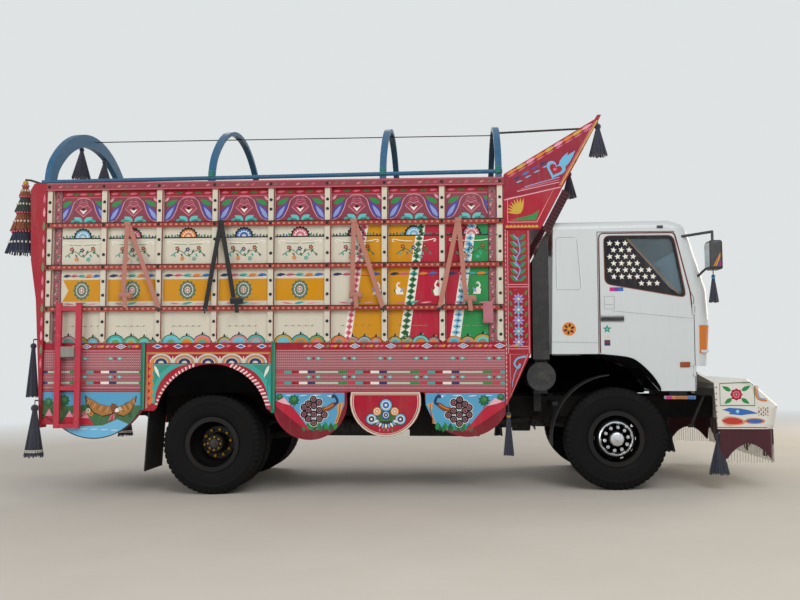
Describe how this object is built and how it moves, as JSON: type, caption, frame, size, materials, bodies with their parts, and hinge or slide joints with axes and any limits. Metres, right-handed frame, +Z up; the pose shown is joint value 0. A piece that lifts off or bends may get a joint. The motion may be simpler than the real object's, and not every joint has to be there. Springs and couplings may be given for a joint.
{
  "type": "decorated cargo truck",
  "caption": "Ornately painted cab-over cargo truck with a high timber body, prow over the cab, hoops, tilting cab and drop tailgate.",
  "frame": {"origin": "centre of the bounding box's footprint, on the road", "axes": "+X forward, +Y to the truck's left, +Z up; the truck stands one degree nose down"},
  "size_m": [8.2451, 2.89, 4.1721],
  "materials": {
    "chassis_black": "satin black frame paint, dusty",
    "engine_iron": "oily cast iron",
    "axle_black": "greasy black",
    "rim_dark": "dark painted rims, chromed front hubs",
    "tyre_rubber": "dusty black tread rubber",
    "black_rubber": "matt black rubber sheet",
    "cab_white": "slightly blue white gloss paint, worn",
    "cab_glass": "clear glass with printed film",
    "grille_black": "black slatted plastic",
    "lamp_amber": "amber lens",
    "lamp_clear": "clear headlamp glass",
    "seat_cloth": "dark red woven seat covers",
    "dash_black": "matt black dashboard",
    "mirror_shell": "black shells with painted backs and mirror faces",
    "bumper_white": "cream enamel with painted motifs",
    "fringe_chain": "maroon cloth band with chains hanging below",
    "duct_black": "matt black ribbed plastic",
    "deck_wood": "bare hardwood boards",
    "wall_paint": "painted boards with floral panels in rows",
    "post_cream": "cream enamel on wood",
    "rail_red": "orange-red enamel with pale dashes",
    "skirt_paint": "pink and red banded enamel with landscape scallops",
    "batten_green": "green enamel",
    "ladder_pink": "pink-red enamel",
    "prow_paint": "crimson enamel with floral panels",
    "hoop_blue": "blue enamel with cream edges",
    "wire_pale": "pale wire and a dark blue stay",
    "strap_pink": "worn pink and black webbing",
    "tassel_black": "black yarn",
    "ornament_beads": "tiers of beads, yarn and cloth"
  },
  "bodies": {
    "chassis": {"chassis_frame": "chassis_black", "tow_jaw": "chassis_black", "engine_block": "engine_iron", "radiator": "engine_iron", "front_axle": "axle_black", "rear_axle": "axle_black", "leaf_springs": "axle_black", "chassis_boxes": "chassis_black", "exhaust": "engine_iron", "mudguards": "black_rubber", "bumper": "bumper_white", "headlamps": "lamp_clear", "bumper_skirt": "fringe_chain", "intake_duct": "duct_black", "load_floor": "deck_wood", "side_walls": "wall_paint", "wall_posts": "post_cream", "wall_rails": "rail_red", "headboard": "deck_wood", "front_columns": "prow_paint", "prow": "prow_paint", "rear_frame": "prow_paint", "side_skirts": "skirt_paint", "side_battens": "batten_green", "side_ladders": "ladder_pink", "roof_hoops": "hoop_blue", "ridge_pole": "wire_pale", "straps": "strap_pink", "tassels": "tassel_black", "rear_ornaments": "ornament_beads"},
    "tailgate": {"tailgate": "prow_paint"},
    "knuckle_right": {"knuckle_right": "axle_black"},
    "knuckle_left": {"knuckle_left": "axle_black"},
    "tie_rod": {"tie_rod": "axle_black"},
    "front_wheel_right": {"front_rim_right": "rim_dark", "front_tyre_right": "tyre_rubber"},
    "front_wheel_left": {"front_rim_left": "rim_dark", "front_tyre_left": "tyre_rubber"},
    "rear_wheel_right": {"rear_rims_right": "rim_dark", "rear_tyres_right": "tyre_rubber"},
    "rear_wheel_left": {"rear_rims_left": "rim_dark", "rear_tyres_left": "tyre_rubber"},
    "cab": {"cab_shell": "cab_white", "windscreen": "cab_glass", "front_grille": "grille_black", "corner_lamps": "lamp_amber", "seats": "seat_cloth", "dashboard": "dash_black", "mirrors": "mirror_shell", "mirror_tassels": "tassel_black"},
    "door_right": {"door_right": "cab_white", "door_glass_right": "cab_glass"},
    "door_left": {"door_left": "cab_white", "door_glass_left": "cab_glass"}
  },
  "joints": [
    {"name": "steer_right", "type": "hinge", "parent": "chassis", "child": "knuckle_right", "pos_m": [2.47175, -0.86, 0.526], "axis": [0.0175, 0, 0.9998], "range_deg": [-35, 35]},
    {"name": "steer_left", "type": "hinge", "parent": "chassis", "child": "knuckle_left", "pos_m": [2.47175, 0.86, 0.526], "axis": [0.0175, 0, 0.9998], "range_deg": [-35, 35]},
    {"name": "tie_rod_pivot", "type": "hinge", "parent": "knuckle_right", "child": "tie_rod", "pos_m": [2.27981, -0.86, 0.41647], "axis": [0.0175, 0, 0.9998], "range_deg": [-35, 35]},
    {"name": "front_wheel_right_spin", "type": "hinge", "parent": "knuckle_right", "child": "front_wheel_right", "pos_m": [2.47175, -1.029, 0.526], "axis": [0, 1, 0], "continuous": true},
    {"name": "front_wheel_left_spin", "type": "hinge", "parent": "knuckle_left", "child": "front_wheel_left", "pos_m": [2.47175, 1.029, 0.526], "axis": [0, 1, 0], "continuous": true},
    {"name": "rear_wheel_right_spin", "type": "hinge", "parent": "chassis", "child": "rear_wheel_right", "pos_m": [-1.76025, -0.9075, 0.526], "axis": [0, 1, 0], "continuous": true},
    {"name": "rear_wheel_left_spin", "type": "hinge", "parent": "chassis", "child": "rear_wheel_left", "pos_m": [-1.76025, 0.9075, 0.526], "axis": [0, 1, 0], "continuous": true},
    {"name": "cab_tilt", "type": "hinge", "parent": "chassis", "child": "cab", "pos_m": [3.38348, 0, 1.19033], "axis": [0, 1, 0], "range_deg": [0, 45]},
    {"name": "door_right_hinge", "type": "hinge", "parent": "cab", "child": "door_right", "pos_m": [3.28308, -1.196, 1.51213], "axis": [0.0175, 0, 0.9998], "range_deg": [0, 70]},
    {"name": "door_left_hinge", "type": "hinge", "parent": "cab", "child": "door_left", "pos_m": [3.28308, 1.196, 1.51213], "axis": [0.0175, 0, 0.9998], "range_deg": [-70, 0]},
    {"name": "tailgate_hinge", "type": "hinge", "parent": "chassis", "child": "tailgate", "pos_m": [-3.64997, 0, 1.2831], "axis": [0, 1, 0], "range_deg": [-90, 0]}
  ],
  "couplings": [
    {"joint": "steer_left", "follows": "steer_right", "ratio": 1},
    {"joint": "tie_rod_pivot", "follows": "steer_right", "ratio": -1}
  ]
}
